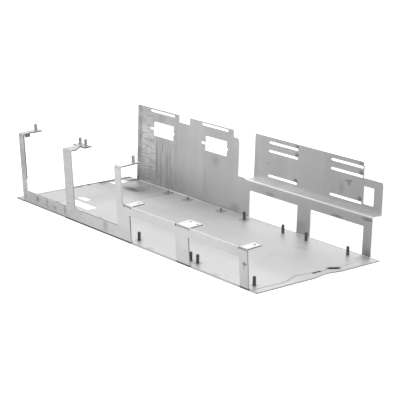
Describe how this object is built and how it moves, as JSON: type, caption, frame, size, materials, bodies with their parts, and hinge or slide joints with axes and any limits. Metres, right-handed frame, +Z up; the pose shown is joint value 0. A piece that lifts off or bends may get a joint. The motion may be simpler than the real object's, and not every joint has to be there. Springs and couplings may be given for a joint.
{
  "type": "sheet metal chassis",
  "caption": "Long open chassis folded from one metal sheet, with leaning slotted walls, tabbed posts and pressed-in studs for mounting electronics.",
  "frame": {"origin": "middle of the base's underside, midway between its ends and its two fold lines", "axes": "+X along the base towards the end with the open rails, +Y from the front wall to the rear wall, +Z up"},
  "size_m": [0.5, 0.2089, 0.1085],
  "materials": {
    "sheet": "satin zinc-coated sheet",
    "stud": "zinc-plated thread"
  },
  "bodies": {
    "root": {"chassis_sheet": "sheet", "stud_front_1": "stud", "stud_front_2": "stud", "stud_front_3": "stud", "stud_front_4": "stud", "stud_rear_1": "stud", "stud_rear_2": "stud", "stud_rear_3": "stud", "stud_rear_4": "stud", "stud_rear_5": "stud", "stud_rear_6": "stud", "stud_rear_7": "stud", "stud_post_1": "stud", "stud_post_2": "stud", "stud_post_3": "stud", "stud_post_4": "stud"}
  },
  "joints": []
}
